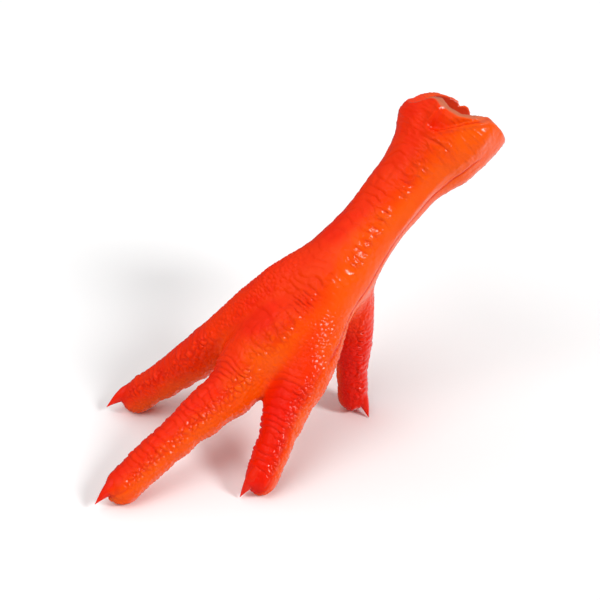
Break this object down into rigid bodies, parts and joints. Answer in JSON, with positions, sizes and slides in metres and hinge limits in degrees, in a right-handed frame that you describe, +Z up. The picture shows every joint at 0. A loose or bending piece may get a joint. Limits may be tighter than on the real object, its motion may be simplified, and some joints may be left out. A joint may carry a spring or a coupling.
{
  "type": "rubber chicken foot",
  "caption": "Hollow rubber chicken foot with a flared open knuckle end, spread clawed toes that flex, and a squeaker seated in the shank.",
  "frame": {"origin": "middle of the footprint of the bounding box, on the floor under the four toe pads", "axes": "+Z up from the floor, the middle toe points along -Y, the open knuckle end is towards +Y and up, the outer toe is on the +X side"},
  "size_m": [0.0941, 0.1964, 0.1307],
  "materials": {
    "skin_rubber": "glossy moulded rubber, orange sprayed with orange-red on the toe tops",
    "claw_rubber": "glossy, sprayed a deeper red",
    "squeaker_plastic": "plain white injection moulding",
    "reed_film": "thin springy film"
  },
  "bodies": {
    "palm": {"palm_skin": "skin_rubber"},
    "shank": {"shank_skin": "skin_rubber", "squeaker_body": "squeaker_plastic", "squeaker_block": "squeaker_plastic", "squeaker_cap": "squeaker_plastic"},
    "reed": {"squeaker_reed": "reed_film"},
    "inner_root": {"inner_toe_base": "skin_rubber"},
    "inner_end": {"inner_toe_tip": "skin_rubber", "inner_toe_claw": "claw_rubber"},
    "middle_root": {"middle_toe_base": "skin_rubber"},
    "middle_end": {"middle_toe_tip": "skin_rubber", "middle_toe_claw": "claw_rubber"},
    "outer_root": {"outer_toe_base": "skin_rubber"},
    "outer_end": {"outer_toe_tip": "skin_rubber", "outer_toe_claw": "claw_rubber"},
    "hind_root": {"hind_toe_base": "skin_rubber"},
    "hind_end": {"hind_toe_tip": "skin_rubber", "hind_toe_claw": "claw_rubber"}
  },
  "joints": [
    {"name": "shank_bend", "type": "hinge", "parent": "palm", "child": "shank", "pos_m": [0.0116, 0.03732, 0.08455], "axis": [1, 0, 0], "range_deg": [-14, 14], "stiffness_Nm_per_rad": 2.5},
    {"name": "inner_root_curl", "type": "hinge", "parent": "palm", "child": "inner_root", "pos_m": [-0.0189, -0.03031, 0.03192], "axis": [-0.7383, 0.6725, 0.0511], "range_deg": [-18, 12], "stiffness_Nm_per_rad": 1.2},
    {"name": "inner_tip_curl", "type": "hinge", "parent": "inner_root", "child": "inner_end", "pos_m": [-0.0289, -0.04031, 0.01904], "axis": [-0.6954, 0.712, 0.0973], "range_deg": [-18, 12], "stiffness_Nm_per_rad": 0.9},
    {"name": "middle_root_curl", "type": "hinge", "parent": "palm", "child": "middle_root", "pos_m": [0.0116, -0.03339, 0.03248], "axis": [-1, 0, 0], "range_deg": [-18, 12], "stiffness_Nm_per_rad": 1.2},
    {"name": "middle_tip_curl", "type": "hinge", "parent": "middle_root", "child": "middle_end", "pos_m": [0.0116, -0.05891, 0.02072], "axis": [-0.9999, 0.0157, 0.0063], "range_deg": [-18, 12], "stiffness_Nm_per_rad": 0.9},
    {"name": "outer_root_curl", "type": "hinge", "parent": "palm", "child": "outer_root", "pos_m": [0.0291, -0.01851, 0.03024], "axis": [-0.9193, -0.3784, -0.108], "range_deg": [-18, 12], "stiffness_Nm_per_rad": 1.2},
    {"name": "outer_tip_curl", "type": "hinge", "parent": "outer_root", "child": "outer_end", "pos_m": [0.0351, -0.02981, 0.01876], "axis": [-0.933, -0.3541, -0.0646], "range_deg": [-18, 12], "stiffness_Nm_per_rad": 0.9},
    {"name": "hind_root_curl", "type": "hinge", "parent": "palm", "child": "hind_root", "pos_m": [0.0146, 0.02589, 0.0364], "axis": [0.8414, -0.5382, 0.0491], "range_deg": [-18, 12], "stiffness_Nm_per_rad": 1.2},
    {"name": "hind_tip_curl", "type": "hinge", "parent": "hind_root", "child": "hind_end", "pos_m": [0.0151, 0.02519, 0.02016], "axis": [0.8357, -0.543, 0.0827], "range_deg": [-18, 12], "stiffness_Nm_per_rad": 0.9},
    {"name": "reed_flutter", "type": "hinge", "parent": "shank", "child": "reed", "pos_m": [0.0116, 0.05042, 0.10127], "axis": [1, 0, 0], "range_deg": [0, 6], "stiffness_Nm_per_rad": 0.002}
  ]
}
